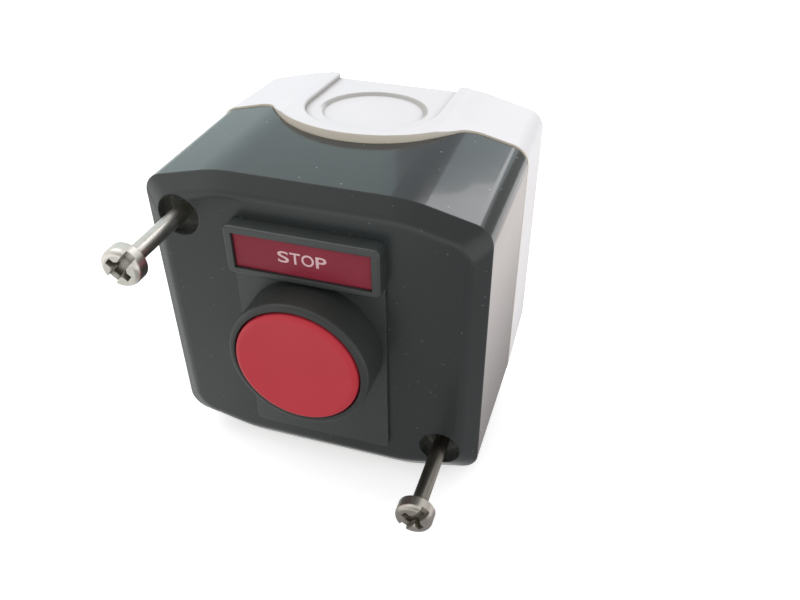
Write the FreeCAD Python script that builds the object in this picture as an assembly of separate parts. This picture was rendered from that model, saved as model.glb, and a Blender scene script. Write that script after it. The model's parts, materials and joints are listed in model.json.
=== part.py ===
import FreeCAD, Part
import math
import os
from FreeCAD import Vector

# Pushbutton control station: a moulded base and cover, one flush push button with its legend,
# a contact block on the back wall and two captive cover screws, drawn out of the cover.
# Millimetres. The rear face lies on y = 0, the front looks along -Y and +Z is up.
# The origin is the point where the button's axis meets the rear face.

# Enclosure
box_width = 68.7
box_height = 67.4
front_depth = 55.2
split_depth = 21.0
crown_half = 18.6
crown_drop = 3.8
crown_radius = 26.0
corner_radius = 4.5
side_draft = 0.3
wall = 2.2
front_wall = 2.6
rear_wall = 2.6
bevel_width = 3.6
bevel_depth = 2.6
bevel_corner_radius = 5.5
front_edge_radius = 3.0
smallest_radius = 0.5
overcut = 1.0
same_place = 1e-4
coil_steps = 10
wire_sides = 6

# Joint between base and cover
base_rise = 0.3
tongue_depth = 34.6
tongue_radius = 24.0
tongue_fillet = 6.0
joint_gap = 0.4
rim_depth = 2.5
rim_thickness = 1.2
rim_clearance = 0.3
band_depth = 3.0
gasket_thickness = 0.3
gasket_setback = 0.7
gasket_width = 1.4

# Cable entries in the top and bottom of the base
crown_fall = 0.9
roof_fall = 0.7
lip_rise = 1.2
lip_flat_width = 33.0
lip_foot_width = 46.0
lip_side_fall = 1.6
pocket_width = 28.8
pocket_sink = 1.2
pocket_edge_radius = 0.4
entry_depth = 17.6
entry_radius = 10.9
entry_recess = 0.6
entry_draft = 0.3

# Cover screws and their holes
boss_gap = 0.6
screw_top_margin = 10.0
counterbore_clearance = 0.55
counterbore_depth = 4.5
pillar_wall = 1.3
retainer_thickness = 2.0
retainer_clearance = 0.3
screw_head_radius = 3.75
screw_head_height = 3.1
screw_head_rounding = 1.1
screw_thread_radius = 2.0
screw_thread_height = 0.4
screw_hole_clearance = 0.15
screw_pull = 20.7
screw_engagement = 10.0
screw_tip_room = 2.0
screw_slot_width = 1.9
screw_slot_depth = 1.3
screw_cross_length = 4.8
screw_cross_width = 1.5
screw_cross_depth = 2.0
screw_core_radius = 1.6
screw_core_taper = 0.5
upper_slot_angle = 50.0
lower_slot_angle = 51.0
boss_wall = 1.7

# Wall fixing
fixing_side_margin = 10.35
fixing_top_margin = 11.7
fixing_hole_radius = 2.15
fixing_rim_width = 2.2
fixing_rim_height = 1.2

# Legend holder and its insert
holder_drop = 26.0
holder_thickness = 0.8
holder_corner_radius = 1.2
legend_width = 27.0
legend_height = 7.4
legend_thickness = 1.2
legend_recess = 0.65
legend_clearance = 0.1
frame_border = 1.45
frame_side_border = 1.7
frame_gap = 0.8
frame_rise = 3.4
frame_edge_radius = 0.5

# Push button head
button_travel = 4.0
cap_radius = 12.6
cap_proud = 0.75
cap_thickness = 2.4
cap_dish = 0.8
cap_edge_radius = 1.1
cap_clearance = 0.25
cap_socket_radius = 3.0
cap_socket_wall = 1.6
cap_socket_depth = 2.4
bezel_wall = 1.5
bezel_floor = 1.9
bezel_edge_radius = 1.0
bezel_bore_edge_radius = 0.3
barrel_radius = 11.0
barrel_wall = 2.0
barrel_depth = 12.0
barrel_floor = 1.5
panel_clearance = 0.25
running_clearance = 0.05
rest_clearance = 0.3
collar_length = 5.6
rod_radius = 3.2
rod_hole_clearance = 0.15
snap_reach = 1.1
snap_length = 1.6
seal_wire_radius = 0.7
return_spring_radius = 6.0
return_spring_wire = 0.4
return_spring_turns = 5
bezel_gasket_gap = 0.7
bezel_gasket_width = 1.7
bezel_gasket_thickness = 0.7
nut_wall = 3.6
nut_thickness = 5.0
nut_notch_radius = 1.6
nut_notch_count = 8

# Contact block on the back wall
block_width = 12.0
block_height = 38.0
block_depth = 23.0
tower_height = 16.0
tower_depth = 28.0
block_wall = 1.4
foot_reach = 2.0
foot_thickness = 2.4
clip_gap = 0.2
clip_thickness = 1.6
clip_width = 8.0
clip_hook = 1.3
plunger_radius = 2.6
plunger_gap = 0.3
plunger_overrun = 0.6
carrier_width = 6.4
carrier_height = 6.0
carrier_end = 10.0
window_wall = 1.5
plunger_spring_radius = 2.2
plunger_spring_wire = 0.3
plunger_spring_turns = 6
contact_spring_length = 3.6
contact_spring_radius = 1.6
contact_spring_wire = 0.25
contact_spring_turns = 4
strip_thickness = 0.8
strip_width = 4.4
strip_gap = 1.0
bridge_thickness = 0.7
bridge_length = 17.0
tip_radius = 1.4
tip_height = 0.6
contact_gap = 0.1
terminal_margin = 6.0
terminal_clearance = 0.4
terminal_clamp_border = 0.2
terminal_clamp_thickness = 1.2
terminal_screw_radius = 1.6
terminal_head_radius = 3.0
terminal_head_height = 2.0
terminal_slot_width = 0.9
terminal_slot_depth = 0.9
terminal_screw_length = 6.0
wire_way_width = 3.6
wire_way_depth = 4.2

# Places that follow from the sizes above; y is negative towards the front
half_width = box_width / 2
cover_half_height = box_height / 2
base_half_height = cover_half_height + base_rise
front_y = -front_depth
bevel_y = front_y + bevel_depth
front_inner_y = front_y + front_wall
split_y = -split_depth
cover_edge_y = split_y - joint_gap
tongue_y = -tongue_depth
rear_inner_y = -rear_wall
boss_radius = screw_thread_radius + screw_hole_clearance + boss_wall
rim_outer = wall + rim_clearance
rim_inner = rim_outer + rim_thickness
screw_x = half_width - rim_inner - boss_gap - boss_radius
screw_z = cover_half_height - screw_top_margin
screw_seat_y = front_y + counterbore_depth
screw_shank_radius = screw_thread_radius - screw_thread_height
screw_hole_radius = screw_thread_radius + screw_hole_clearance
counterbore_radius = screw_head_radius + counterbore_clearance
fixing_x = half_width - fixing_side_margin
fixing_z = cover_half_height - fixing_top_margin
screw_places = [(-screw_x, screw_z), (screw_x, -screw_z)]
fixing_places = [(fixing_x, fixing_z), (-fixing_x, -fixing_z)]
holder_y = front_y - holder_thickness
holder_width = legend_width + 2 * frame_side_border
bezel_gasket_rise = holder_thickness + bezel_gasket_thickness
bezel_floor_rise = bezel_gasket_rise + bezel_floor
cap_floor_rise = bezel_floor_rise + rest_clearance + button_travel
cap_rise = cap_floor_rise + cap_thickness
bezel_rise = cap_rise - cap_proud
bezel_bore_radius = cap_radius + cap_clearance
bezel_radius = bezel_bore_radius + bezel_wall
bezel_gasket_inner = barrel_radius + bezel_gasket_gap
bezel_gasket_outer = bezel_gasket_inner + bezel_gasket_width
bore_radius = barrel_radius - barrel_wall
panel_hole_radius = barrel_radius + panel_clearance
nut_radius = barrel_radius + nut_wall
frame_half = legend_height / 2 + frame_border
legend_centre_height = bezel_radius + frame_gap + frame_half
legend_face_y = front_y - frame_rise + legend_recess
stem_top_rise = cap_floor_rise - cap_socket_depth
collar_end_rise = stem_top_rise - collar_length
barrel_floor_rise = -barrel_depth + barrel_floor
collar_radius = bore_radius - running_clearance
seal_radius = collar_radius - seal_wire_radius
seal_rise = (stem_top_rise + collar_end_rise) / 2
block_front_y = rear_inner_y - block_depth
tower_front_y = rear_inner_y - tower_depth
plunger_tip_y = tower_front_y - button_travel - plunger_overrun
carrier_end_y = rear_inner_y - carrier_end
window_back_y = carrier_end_y - window_wall
bridge_back_y = window_back_y - contact_spring_length
bridge_front_y = bridge_back_y - bridge_thickness
strip_back_y = bridge_front_y - 2 * tip_height - contact_gap
strip_front_y = strip_back_y - strip_thickness
clamp_front_y = strip_front_y - terminal_clamp_thickness
terminal_z = block_height / 2 - terminal_margin
terminal_clamp_size = 2 * (terminal_head_radius + terminal_clamp_border)
terminal_well = terminal_clamp_size + 2 * terminal_clearance
terminal_hole_radius = terminal_screw_radius + running_clearance
tip_z = bridge_length / 2 - tip_radius
big = 3 * max(box_width, box_height, front_depth)


def inset_points(points, inset):
    """Move every side of a convex outline around the origin inwards and meet the sides again."""
    lines = []
    for start, end in zip(points, points[1:] + points[:1]):
        across, up = end[0] - start[0], end[1] - start[1]
        length = math.hypot(across, up)
        normal = (up / length, -across / length)
        offset = normal[0] * start[0] + normal[1] * start[1]
        if offset < 0:
            normal = (-normal[0], -normal[1])
            offset = -offset
        lines.append((normal[0], normal[1], offset - inset))
    moved = []
    for first, second in zip(lines[-1:] + lines[:-1], lines):
        area = first[0] * second[1] - second[0] * first[1]
        x = (first[2] * second[1] - second[2] * first[1]) / area
        z = (first[0] * second[2] - second[0] * first[2]) / area
        moved.append((x, z))
    return moved


def rounded_wire(points, radii, place):
    """Closed wire of straight sides and corner arcs; place turns an outline point into a Vector."""
    corners = []
    count = len(points)
    for index, point in enumerate(points):
        here = Vector(point[0], point[1], 0)
        before = Vector(*points[index - 1], 0) - here
        after = Vector(*points[(index + 1) % count], 0) - here
        before.normalize()
        after.normalize()
        half_angle = before.getAngle(after) / 2
        radius = radii[index]
        middle = before + after
        middle.normalize()
        reach = radius / math.tan(half_angle)
        to_centre = radius / math.sin(half_angle)
        corners.append((here + before * reach, here + middle * (to_centre - radius), here + after * reach))
    edges = []
    for index, (start, middle, end) in enumerate(corners):
        start, middle, end = [place(p.x, p.y) for p in (start, middle, end)]
        following = corners[(index + 1) % count][0]
        edges.append(Part.Arc(start, middle, end).toShape())
        edges.append(Part.LineSegment(end, place(following.x, following.y)).toShape())
    return Part.Wire(edges)


def enclosure_wire(y, half_w, half_h, inset=0.0, corner=None):
    """Outline of the box at depth y: flat crown, sloping shoulders and rounded corners."""
    shoulder = half_h - crown_drop
    right = [(crown_half, half_h), (half_w, shoulder), (half_w, -shoulder), (crown_half, -half_h)]
    left = [(-x, -z) for x, z in right]
    points = inset_points(right + left, inset)
    crown = max(crown_radius - inset, smallest_radius)
    if corner is None:
        corner = max(corner_radius - inset, smallest_radius)
    return rounded_wire(points, [crown, corner, corner, crown] * 2, lambda x, z: Vector(x, y, z))


def loft(first, second):
    return Part.makeLoft([first, second], True, True)


def cover_form(inset, y_from, y_to):
    """Drafted outer form of the cover, or the same form moved inwards."""
    def wire(y):
        narrowing = side_draft * (y - split_y) / (bevel_y - split_y)
        return enclosure_wire(y, half_width - narrowing, cover_half_height - narrowing, inset)
    return loft(wire(y_from), wire(y_to))


def base_form(inset, y_from, y_to):
    """Drafted outer form of the base, or the same form moved inwards."""
    def wire(y):
        share = (y - split_y) / -split_y
        half_h = base_half_height - crown_fall * share
        return enclosure_wire(y, half_width - side_draft * share, half_h, inset)
    return loft(wire(y_from), wire(y_to))


def behind_joint(forward):
    """Everything behind the joint line, with its round tongue, moved forward by a distance."""
    centre_y = tongue_y + tongue_radius
    fillet_y = split_y - tongue_fillet
    fillet_x = math.sqrt((tongue_radius + tongue_fillet) ** 2 - (centre_y - fillet_y) ** 2)
    share = tongue_radius / (tongue_radius + tongue_fillet)
    touch_x = fillet_x * share
    touch_y = centre_y + (fillet_y - centre_y) * share
    turn = (math.pi / 2 + math.atan2(touch_y - fillet_y, fillet_x - touch_x)) / 2
    bend_x = fillet_x - tongue_fillet * math.cos(turn)
    bend_y = fillet_y + tongue_fillet * math.sin(turn)

    def point(x, y):
        return Vector(x, y - forward, -big)
    corners = [point(-fillet_x, split_y), point(-big, split_y), point(-big, big),
               point(big, big), point(big, split_y), point(fillet_x, split_y)]
    edges = [Part.LineSegment(a, b).toShape() for a, b in zip(corners, corners[1:])]
    edges.append(Part.Arc(corners[-1], point(bend_x, bend_y), point(touch_x, touch_y)).toShape())
    edges.append(Part.Arc(point(touch_x, touch_y), point(0, tongue_y), point(-touch_x, touch_y)).toShape())
    edges.append(Part.Arc(point(-touch_x, touch_y), point(-bend_x, bend_y), corners[0]).toShape())
    return Part.Face(Part.Wire(edges)).extrude(Vector(0, 0, 2 * big))


def rod(radius, x, z, y_from, y_to):
    """Round bar along the depth of the box."""
    low = min(y_from, y_to)
    return Part.makeCylinder(radius, abs(y_to - y_from), Vector(x, low, z), Vector(0, 1, 0))


def block(x_range, y_range, z_range):
    size = [high - low for low, high in (x_range, y_range, z_range)]
    return Part.makeBox(*size, Vector(x_range[0], y_range[0], z_range[0]))


def centred_block(width, y_range, height, z=0.0):
    return block((-width / 2, width / 2), y_range, (z - height / 2, z + height / 2))


def turned(profile):
    """Solid of revolution about the button's axis from (radius, rise above the front) points."""
    points = [Vector(radius, front_y - rise, 0) for radius, rise in profile]
    face = Part.Face(Part.makePolygon(points + points[:1]))
    return face.revolve(Vector(0, 0, 0), Vector(0, 1, 0), 360)


def round_edges(shape, radius, wanted):
    return shape.makeFillet(radius, [edge for edge in shape.Edges if wanted(edge)])


def circle_at(radius, y):
    """Test for a circular edge of this radius at depth y."""
    def wanted(edge):
        curve = edge.Curve
        return (isinstance(curve, Part.Circle) and abs(curve.Radius - radius) < same_place
                and abs(curve.Center.y - y) < same_place)
    return wanted


def mirrored(shape):
    return shape.mirror(Vector(0, 0, 0), Vector(0, 0, 1))


def coil(mean_radius, wire_radius, turns, y_from, y_to):
    """Compression spring about the button's axis between two depths, its wire drawn with flat facets."""
    length = y_to - y_from - 2 * wire_radius
    steps = turns * coil_steps
    rings = []
    for step in range(steps + 1):
        angle = 2 * math.pi * step / coil_steps
        centre_y = y_from + wire_radius + length * step / steps
        ring = []
        for side in range(wire_sides):
            turn = 2 * math.pi * side / wire_sides
            radius = mean_radius + wire_radius * math.cos(turn)
            y = centre_y + wire_radius * math.sin(turn)
            ring.append(Vector(radius * math.cos(angle), y, radius * math.sin(angle)))
        rings.append(ring)
    outlines = [rings[0], rings[-1]]
    for ring, following in zip(rings, rings[1:]):
        for side in range(wire_sides):
            before = side - 1
            outlines.append([ring[before], ring[side], following[side]])
            outlines.append([ring[before], following[side], following[before]])
    faces = [Part.Face(Part.makePolygon(outline + outline[:1])) for outline in outlines]
    return Part.Solid(Part.Shell(faces))


def roof_z(y):
    """Height of the sloping roof over the cable entry at depth y."""
    back = base_half_height - roof_fall
    front = base_half_height + lip_rise
    return back + (front - back) * y / tongue_y


def ramp_solid(outline, y_from, y_to):
    """Loft an outline of (x, height relative to the roof or a plain height) along the depth."""
    wires = []
    for y in (y_from, y_to):
        points = [Vector(x, y, roof_z(y) + z if follows else z) for x, z, follows in outline]
        wires.append(Part.makePolygon(points + points[:1]))
    return loft(*wires)


def pocket_prism(grow):
    """Upright prism over the pocket: open to the rear and round at the front, grown by a distance."""
    half = pocket_width / 2 + grow
    rear_left, rear_right = Vector(-half, overcut, 0), Vector(half, overcut, 0)
    left, right = Vector(-half, -entry_depth, 0), Vector(half, -entry_depth, 0)
    nose = Vector(0, -entry_depth - half, 0)
    edges = [Part.LineSegment(left, rear_left).toShape(), Part.LineSegment(rear_left, rear_right).toShape(),
             Part.LineSegment(rear_right, right).toShape(), Part.Arc(right, nose, left).toShape()]
    return Part.Face(Part.Wire(edges)).extrude(Vector(0, 0, big))


def on_pocket_rim(edge):
    """Test for an edge where the walls of a pocket meet the roof."""
    point = edge.valueAt((edge.FirstParameter + edge.LastParameter) / 2)
    across = math.hypot(point.x, min(point.y + entry_depth, 0))
    return (abs(abs(point.z) - roof_z(point.y)) < same_place
            and abs(across - pocket_width / 2) < same_place)


def cable_entry():
    """The raised lip, the floor of the pocket, the pocket and the knock-out's recess, at the top."""
    flat, foot = lip_flat_width / 2, lip_foot_width / 2
    inner = base_half_height - crown_fall - wall
    lip = ramp_solid([(-foot, inner, False), (foot, inner, False), (foot, -lip_side_fall, True),
                      (flat, 0, True), (-flat, 0, True), (-foot, -lip_side_fall, True)], 0, tongue_y)
    floor_end_y = split_y + rim_depth + rim_clearance
    floor = ramp_solid([(-half_width, -pocket_sink - wall, True), (half_width, -pocket_sink - wall, True),
                        (half_width, -pocket_sink, True), (-half_width, -pocket_sink, True)],
                       rear_inner_y, floor_end_y)
    above = ramp_solid([(-half_width, -pocket_sink, True), (half_width, -pocket_sink, True),
                        (half_width, big, False), (-half_width, big, False)], overcut, tongue_y)
    slope = math.atan2(roof_z(tongue_y) - roof_z(0), tongue_depth)
    normal = Vector(0, math.sin(slope), math.cos(slope))
    centre = Vector(0, -entry_depth, roof_z(-entry_depth) - pocket_sink)
    recess = Part.makeCone(entry_radius - entry_draft, entry_radius + entry_draft, 2 * entry_recess,
                           centre - normal * entry_recess, normal)
    return lip, floor.common(pocket_prism(wall)), above.common(pocket_prism(0)), recess


def make_base_box():
    outer = base_form(0, 0, tongue_y)
    inner = base_form(wall, rear_inner_y, tongue_y - overcut)
    lip, floor, pocket, recess = cable_entry()
    shell = outer.fuse([lip, mirrored(lip)]).common(behind_joint(0)).cut(inner)
    shell = shell.fuse([floor, mirrored(floor)]).cut([pocket, mirrored(pocket)]).removeSplitter()
    shell = round_edges(shell, pocket_edge_radius, on_pocket_rim)
    shell = shell.cut([recess, mirrored(recess)])
    hole_bottom_y = split_y + screw_engagement + screw_tip_room
    for x, z in screw_places:
        shell = shell.fuse(rod(boss_radius, x, z, rear_inner_y, split_y))
        shell = shell.cut(rod(screw_hole_radius, x, z, hole_bottom_y, split_y - overcut))
    rim_y = rear_inner_y - fixing_rim_height
    for x, z in fixing_places:
        shell = shell.fuse(rod(fixing_hole_radius + fixing_rim_width, x, z, rear_inner_y, rim_y))
        shell = shell.cut(rod(fixing_hole_radius, x, z, overcut, rim_y - overcut))
    clip_z = block_height / 2 + foot_reach + clip_gap
    hook_y = rear_inner_y - foot_thickness - clip_gap
    clip_top_y = hook_y - clip_hook
    clip_x = (-clip_width / 2, clip_width / 2)
    clip = block(clip_x, (clip_top_y, rear_inner_y), (clip_z, clip_z + clip_thickness))
    hook = block(clip_x, (clip_top_y, hook_y), (clip_z - clip_hook, clip_z))
    clip = clip.fuse(hook)
    return shell.fuse([clip, mirrored(clip)]).removeSplitter()


def make_front_cover():
    side = cover_form(0, split_y, bevel_y)
    front_half = half_width - side_draft
    front_half_height = cover_half_height - side_draft
    bevel = loft(enclosure_wire(bevel_y, front_half, front_half_height),
                 enclosure_wire(front_y, front_half, front_half_height, bevel_width, bevel_corner_radius))
    outer = side.fuse(bevel).removeSplitter()
    front_edges = [edge for edge in outer.Edges if max(v.Y for v in edge.Vertexes) < front_y + same_place]
    outer = outer.makeFillet(front_edge_radius, front_edges)
    shell = outer.cut(cover_form(wall, split_y + overcut, front_inner_y)).cut(behind_joint(joint_gap))
    hollow = cover_form(rim_inner, 0, front_y)
    band = cover_form(0, split_y, bevel_y).cut(hollow)
    band = band.common(behind_joint(band_depth + joint_gap)).cut(behind_joint(joint_gap))
    rim = cover_form(rim_outer, 0, bevel_y).cut(hollow)
    rim = rim.common(behind_joint(band_depth + joint_gap)).cut(behind_joint(-rim_depth))
    shell = shell.fuse([band, rim])
    retainer_y = screw_seat_y + retainer_thickness
    for x, z in screw_places:
        head_tube = rod(counterbore_radius + pillar_wall, x, z, front_inner_y - overcut, retainer_y)
        thread_tube = rod(screw_hole_radius + pillar_wall, x, z, retainer_y, cover_edge_y)
        shell = shell.fuse([head_tube.common(outer), thread_tube])
        shell = shell.cut(rod(counterbore_radius, x, z, front_y - overcut, screw_seat_y))
        neck_radius = screw_shank_radius + screw_hole_clearance
        shell = shell.cut(rod(neck_radius, x, z, screw_seat_y - overcut, retainer_y))
        shell = shell.cut(rod(screw_hole_radius, x, z, retainer_y, cover_edge_y + rim_depth))
    shell = shell.cut(rod(panel_hole_radius, 0, 0, front_y - overcut, front_inner_y + overcut))
    return shell.removeSplitter()


def make_cover_gasket():
    def prism(inset):
        outline = enclosure_wire(0, half_width, cover_half_height, inset)
        return Part.Face(outline).extrude(Vector(0, front_y, 0))
    strip = behind_joint(joint_gap).cut(behind_joint(joint_gap - gasket_thickness))
    return prism(gasket_setback).cut(prism(gasket_setback + gasket_width)).common(strip)


def make_legend_holder():
    frame_low = legend_centre_height - frame_half
    frame_high = legend_centre_height + frame_half
    half = holder_width / 2

    def plate(low, high, y_from, y_to):
        outline = [(-half, low), (half, low), (half, high), (-half, high)]
        wire = rounded_wire(outline, [holder_corner_radius] * 4, lambda x, z: Vector(x, y_from, z))
        return Part.Face(wire).extrude(Vector(0, y_to - y_from, 0))
    base = plate(-holder_drop, frame_high, front_y, holder_y)
    frame = plate(frame_low, frame_high, front_y, front_y - frame_rise)
    frame = round_edges(frame, frame_edge_radius,
                        lambda edge: max(v.Y for v in edge.Vertexes) < front_y - frame_rise + same_place)
    holder = base.fuse(frame).removeSplitter()
    holder = holder.cut(rod(panel_hole_radius, 0, 0, front_y + overcut, holder_y - overcut))
    seat_y = (front_y - frame_rise - overcut, legend_face_y + legend_thickness)
    seat = centred_block(legend_width + 2 * legend_clearance, seat_y,
                         legend_height + 2 * legend_clearance, legend_centre_height)
    return holder.cut(seat)


def make_legend_plate():
    plate_y = (legend_face_y, legend_face_y + legend_thickness)
    return centred_block(legend_width, plate_y, legend_height, legend_centre_height)


def make_button_bezel():
    foot = holder_thickness
    bore = bezel_bore_radius
    rod_hole = rod_radius + rod_hole_clearance
    profile = [(bezel_radius, foot), (bezel_radius, bezel_rise),
               (bore, bezel_rise), (bore, bezel_floor_rise),
               (bore_radius, bezel_floor_rise), (bore_radius, barrel_floor_rise),
               (rod_hole, barrel_floor_rise), (rod_hole, -barrel_depth), (barrel_radius, -barrel_depth),
               (barrel_radius, foot), (bezel_gasket_inner, foot), (bezel_gasket_inner, bezel_gasket_rise),
               (bezel_gasket_outer, bezel_gasket_rise), (bezel_gasket_outer, foot)]
    bezel = turned(profile)
    bezel = round_edges(bezel, bezel_edge_radius, circle_at(bezel_radius, front_y - bezel_rise))
    return round_edges(bezel, bezel_bore_edge_radius, circle_at(bore, front_y - bezel_rise))


def make_bezel_gasket():
    return turned([(bezel_gasket_inner, holder_thickness), (bezel_gasket_outer, holder_thickness),
                   (bezel_gasket_outer, bezel_gasket_rise), (bezel_gasket_inner, bezel_gasket_rise)])


def make_fixing_nut():
    nut_back_y = front_inner_y + nut_thickness
    through = (front_inner_y - overcut, nut_back_y + overcut)
    nut = rod(nut_radius, 0, 0, front_inner_y, nut_back_y)
    nut = nut.cut(rod(barrel_radius + running_clearance, 0, 0, *through))
    for index in range(nut_notch_count):
        angle = 2 * math.pi * index / nut_notch_count
        x, z = nut_radius * math.cos(angle), nut_radius * math.sin(angle)
        nut = nut.cut(rod(nut_notch_radius, x, z, *through))
    return nut


def make_button_cap():
    socket_outer = cap_socket_radius + cap_socket_wall
    cap = turned([(0, cap_rise), (cap_radius, cap_rise), (cap_radius, cap_floor_rise),
                  (socket_outer, cap_floor_rise), (socket_outer, stem_top_rise),
                  (cap_socket_radius, stem_top_rise), (cap_socket_radius, cap_floor_rise),
                  (0, cap_floor_rise)])
    cap = round_edges(cap, cap_edge_radius, circle_at(cap_radius, front_y - cap_rise))
    dish_half = cap_radius - cap_edge_radius
    dish_radius = (dish_half ** 2 + cap_dish ** 2) / (2 * cap_dish)
    dish = Part.makeSphere(dish_radius, Vector(0, front_y - cap_rise + cap_dish - dish_radius, 0))
    return cap.cut(dish)


def make_button_stem():
    groove_floor = seal_radius - seal_wire_radius
    groove_top, groove_bottom = seal_rise + seal_wire_radius, seal_rise - seal_wire_radius
    spigot = cap_socket_radius - running_clearance
    spigot_rise = cap_floor_rise - rest_clearance
    snap_rise = -barrel_depth - rest_clearance
    rod_end_rise = front_y - plunger_tip_y + plunger_gap
    return turned([(0, spigot_rise), (spigot, spigot_rise),
                   (spigot, stem_top_rise), (collar_radius, stem_top_rise),
                   (collar_radius, groove_top), (groove_floor, groove_top),
                   (groove_floor, groove_bottom), (collar_radius, groove_bottom),
                   (collar_radius, collar_end_rise), (rod_radius, collar_end_rise),
                   (rod_radius, snap_rise), (rod_radius + snap_reach, snap_rise),
                   (rod_radius, snap_rise - snap_length),
                   (rod_radius, rod_end_rise), (0, rod_end_rise)])


def make_stem_seal():
    centre = Vector(0, front_y - seal_rise, 0)
    return Part.makeTorus(seal_radius, seal_wire_radius, centre, Vector(0, 1, 0))


def make_return_spring():
    return coil(return_spring_radius, return_spring_wire, return_spring_turns,
                front_y - collar_end_rise, front_y - barrel_floor_rise)


def block_outline(inset):
    """Side outline of the contact block as (depth, height) points."""
    half, tower_half = block_height / 2 - inset, tower_height / 2 - inset
    back, shelf, front = rear_inner_y - inset, block_front_y + inset, tower_front_y + inset
    return [(back, -half), (back, half), (shelf, half), (shelf, tower_half),
            (front, tower_half), (front, -tower_half), (shelf, -tower_half), (shelf, -half)]


def side_plate(outline, x_from, x_to):
    points = [Vector(x_from, y, z) for y, z in outline]
    return Part.Face(Part.makePolygon(points + points[:1])).extrude(Vector(x_to - x_from, 0, 0))


def make_contact_block_body():
    half = block_width / 2
    body = side_plate(block_outline(0), -half, half - block_wall)
    chamber = side_plate(block_outline(block_wall), block_wall - half, half)
    deck = centred_block(big, (block_front_y, strip_front_y), big)
    shaft = (block_front_y - overcut, strip_front_y + overcut)
    deck = deck.cut(centred_block(big, shaft, tower_height - 2 * block_wall))
    body = body.cut(chamber.cut(deck))
    for side in (1, -1):
        well_y = (block_front_y - overcut, strip_front_y)
        body = body.cut(centred_block(terminal_well, well_y, terminal_well, side * terminal_z))
        wire_way_y = (strip_front_y - wire_way_depth, strip_front_y)
        wire_way_z = side * (terminal_z + terminal_margin)
        body = body.cut(centred_block(wire_way_width, wire_way_y, 2 * terminal_margin, wire_way_z))
        foot_y = (rear_inner_y - foot_thickness, rear_inner_y)
        foot_z = side * (block_height + foot_reach) / 2
        body = body.fuse(centred_block(clip_width, foot_y, foot_reach, foot_z))
    plunger_hole = plunger_radius + running_clearance
    body = body.cut(rod(plunger_hole, 0, 0, tower_front_y - overcut, tower_front_y + block_wall + overcut))
    return body.removeSplitter()


def make_contact_block_lid():
    half = block_width / 2
    return side_plate(block_outline(0), half - block_wall, half)


def make_fixed_contact(side):
    inner_z = carrier_height / 2 + strip_gap
    outer_z = terminal_z + terminal_clamp_size / 2
    low, high = sorted((side * inner_z, side * outer_z))
    strip = block((-strip_width / 2, strip_width / 2), (strip_front_y, strip_back_y), (low, high))
    strip = strip.fuse(rod(tip_radius, 0, side * tip_z, strip_back_y, strip_back_y + tip_height))
    through = (strip_front_y - overcut, strip_back_y + overcut)
    return strip.cut(rod(terminal_hole_radius, 0, side * terminal_z, *through))


def make_terminal_clamps():
    clamps = []
    for side in (1, -1):
        z = side * terminal_z
        clamp = centred_block(terminal_clamp_size, (clamp_front_y, strip_front_y), terminal_clamp_size, z)
        hole = rod(terminal_hole_radius, 0, z, clamp_front_y - overcut, strip_front_y + overcut)
        clamps.append(clamp.cut(hole))
    return Part.makeCompound(clamps)


def make_terminal_screws():
    top_y = clamp_front_y - terminal_head_height
    slot_length = 2 * (terminal_head_radius + overcut)
    slot_y = (top_y - overcut, top_y + terminal_slot_depth)
    screws = []
    for side in (1, -1):
        z = side * terminal_z
        screw = rod(terminal_head_radius, 0, z, top_y, clamp_front_y)
        shank_end_y = clamp_front_y + terminal_screw_length
        screw = screw.fuse(rod(terminal_screw_radius, 0, z, clamp_front_y, shank_end_y))
        slot = centred_block(slot_length, slot_y, terminal_slot_width, z)
        screws.append(screw.cut(slot).removeSplitter())
    return Part.makeCompound(screws)


def make_contact_plunger():
    carrier_front = tower_front_y + block_wall + rest_clearance
    carrier = centred_block(carrier_width, (carrier_front, carrier_end_y), carrier_height)
    window_width = strip_width + 2 * rest_clearance
    window = centred_block(window_width, (bridge_front_y, window_back_y), carrier_height + 2 * overcut)
    carrier = carrier.cut(window)
    return carrier.fuse(rod(plunger_radius, 0, 0, plunger_tip_y, carrier_front)).removeSplitter()


def make_contact_bridge():
    bridge = centred_block(strip_width, (bridge_front_y, bridge_back_y), bridge_length)
    for side in (1, -1):
        bridge = bridge.fuse(rod(tip_radius, 0, side * tip_z, bridge_front_y - tip_height, bridge_front_y))
    return bridge.removeSplitter()


def make_contact_spring():
    return coil(contact_spring_radius, contact_spring_wire, contact_spring_turns,
                bridge_back_y, window_back_y)


def make_plunger_spring():
    return coil(plunger_spring_radius, plunger_spring_wire, plunger_spring_turns,
                carrier_end_y, rear_inner_y - block_wall)


def make_cover_screw(x, z, slot_angle):
    """Captive screw, drawn out until its thread meets the back of the retaining wall."""
    under_head_y = screw_seat_y - screw_pull
    top_y = under_head_y - screw_head_height
    thread_y = screw_seat_y + retainer_thickness + retainer_clearance
    tip_y = split_y + screw_engagement - screw_pull
    head = rod(screw_head_radius, 0, 0, top_y, under_head_y)
    head = round_edges(head, screw_head_rounding, circle_at(screw_head_radius, top_y))
    slot_length = 2 * (screw_head_radius + overcut)
    slot = centred_block(slot_length, (top_y - overcut, top_y + screw_slot_depth), screw_slot_width)
    cross_y = (top_y - overcut, top_y + screw_cross_depth)
    cross = centred_block(screw_cross_length, cross_y, screw_cross_width)
    upright = cross.copy()
    upright.rotate(Vector(0, 0, 0), Vector(0, 1, 0), 90)
    core = Part.makeCone(screw_core_radius + screw_core_taper * overcut,
                         screw_core_radius - screw_core_taper * screw_cross_depth,
                         screw_cross_depth + overcut, Vector(0, top_y - overcut, 0), Vector(0, 1, 0))
    recess = slot.fuse([cross, upright, core])
    recess.rotate(Vector(0, 0, 0), Vector(0, 1, 0), -slot_angle)
    screw = head.cut(recess).fuse([rod(screw_shank_radius, 0, 0, under_head_y, thread_y),
                                   rod(screw_thread_radius, 0, 0, thread_y, tip_y)]).removeSplitter()
    screw.translate(Vector(x, 0, z))
    return screw


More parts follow.
